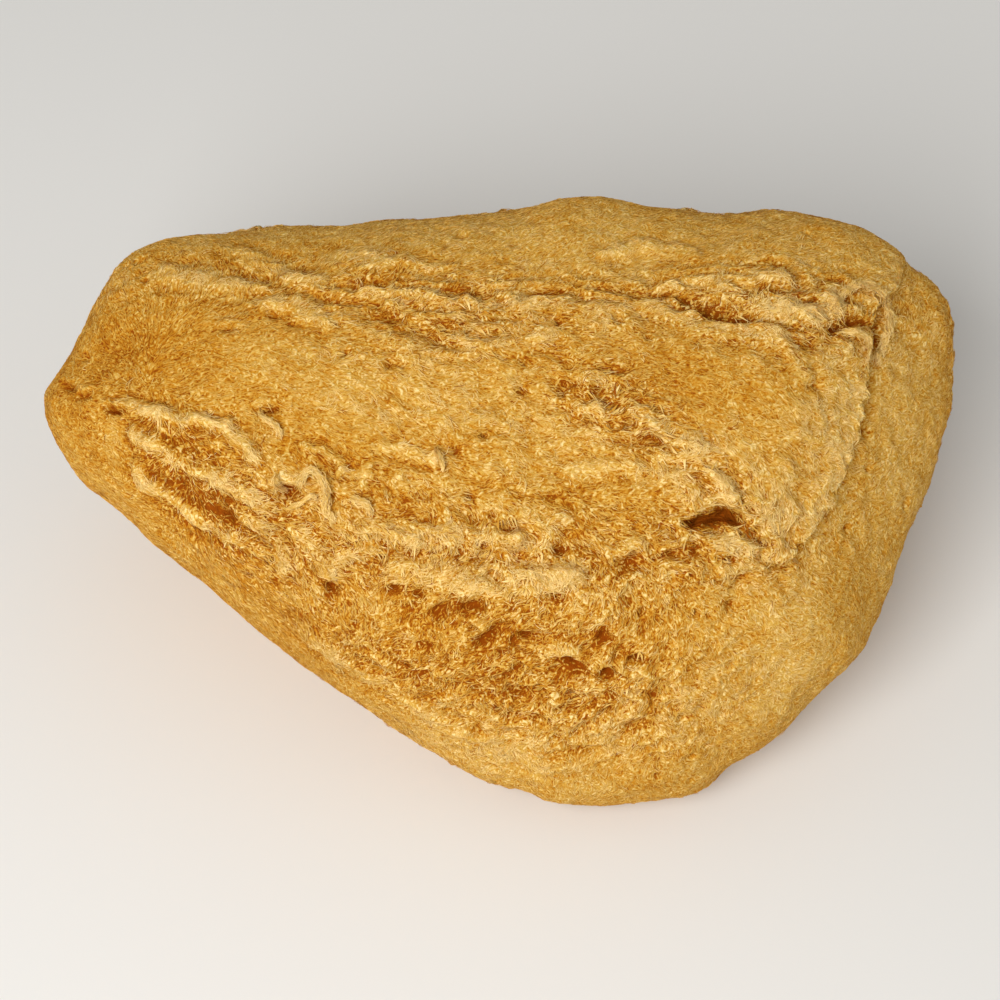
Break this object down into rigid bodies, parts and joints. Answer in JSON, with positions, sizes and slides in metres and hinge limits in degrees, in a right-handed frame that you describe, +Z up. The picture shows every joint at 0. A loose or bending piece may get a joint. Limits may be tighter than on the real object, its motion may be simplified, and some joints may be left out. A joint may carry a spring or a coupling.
{
  "type": "sea sponge",
  "caption": "Dried natural sea sponge: a rounded, lobed wedge of fine golden spongin fibre with a narrow tip, resting on its flat knife cut.",
  "frame": {"origin": "on the flat cut, under the centre of the bounding box", "axes": "+Z up from the cut, +X from the narrow tip to the broad lobed end (the longest extent), +Y to the back"},
  "size_m": [0.127, 0.0842, 0.0602],
  "materials": {
    "spongin": "matt, fine matted fibre with paler tips and amber pores"
  },
  "bodies": {
    "root": {"sponge": "spongin"}
  },
  "joints": []
}
